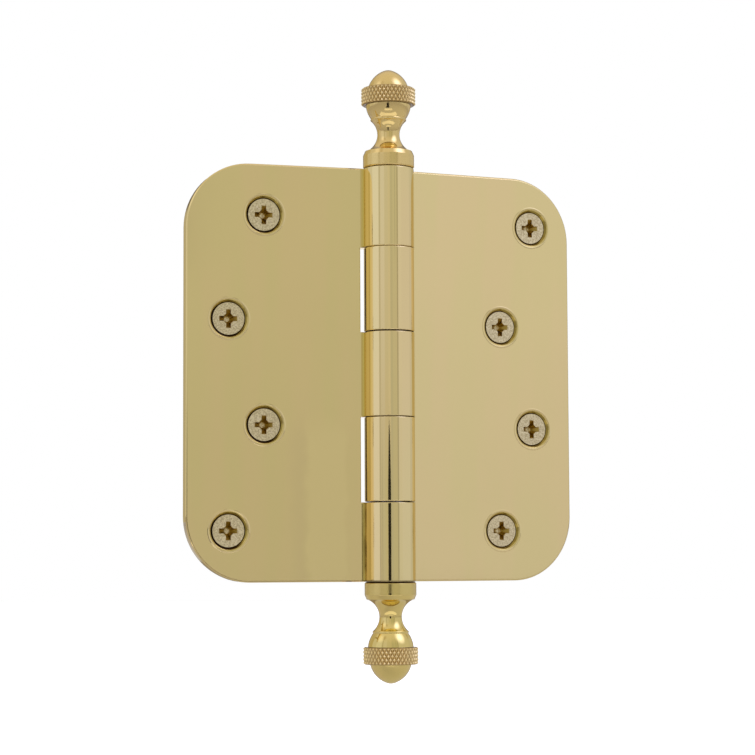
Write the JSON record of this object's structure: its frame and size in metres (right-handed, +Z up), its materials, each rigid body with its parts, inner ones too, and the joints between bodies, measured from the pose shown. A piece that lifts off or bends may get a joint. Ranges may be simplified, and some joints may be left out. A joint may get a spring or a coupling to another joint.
{
  "type": "door hinge",
  "caption": "Full-mortise brass butt hinge with round-cornered leaves, a loose pin in a knuckled barrel, acorn finials with knurled bands, and countersunk wood screws.",
  "frame": {"origin": "on the hinge pin's axis, at the leaves' mid-height", "axes": "+Z up the pin's axis, to the upper finial; +Y out of the jamb leaf's back, into the door frame; the jamb leaf reaches along -X"},
  "size_m": [0.101, 0.0389, 0.151],
  "materials": {
    "polished_brass": "polished and lacquered",
    "turned_brass": "turned and polished",
    "screw_plate": "pale brass plate, satin",
    "pin_steel": "ground"
  },
  "bodies": {
    "jamb_side": {"jamb_leaf": "polished_brass", "jamb_screw_1": "screw_plate", "jamb_screw_2": "screw_plate", "jamb_screw_3": "screw_plate", "jamb_screw_4": "screw_plate"},
    "door_side": {"door_leaf": "polished_brass", "door_screw_1": "screw_plate", "door_screw_2": "screw_plate", "door_screw_3": "screw_plate", "door_screw_4": "screw_plate"},
    "pin": {"hinge_pin": "pin_steel"},
    "upper_tip": {"upper_finial": "turned_brass"},
    "lower_tip": {"lower_finial": "turned_brass"}
  },
  "joints": [
    {"name": "leaf_swing", "type": "hinge", "parent": "jamb_side", "child": "door_side", "pos_m": [0, 0, 0], "axis": [0, 0, 1], "range_deg": [-188, 82]},
    {"name": "pin_lift", "type": "slide", "parent": "jamb_side", "child": "pin", "axis": [0, 0, 1], "range_m": [0, 0.095]},
    {"name": "upper_finial_unscrew", "type": "slide", "parent": "pin", "child": "upper_tip", "axis": [0, 0, 1], "range_m": [0, 0.008]},
    {"name": "lower_finial_unscrew", "type": "slide", "parent": "jamb_side", "child": "lower_tip", "axis": [0, 0, -1], "range_m": [0, 0.008]}
  ]
}
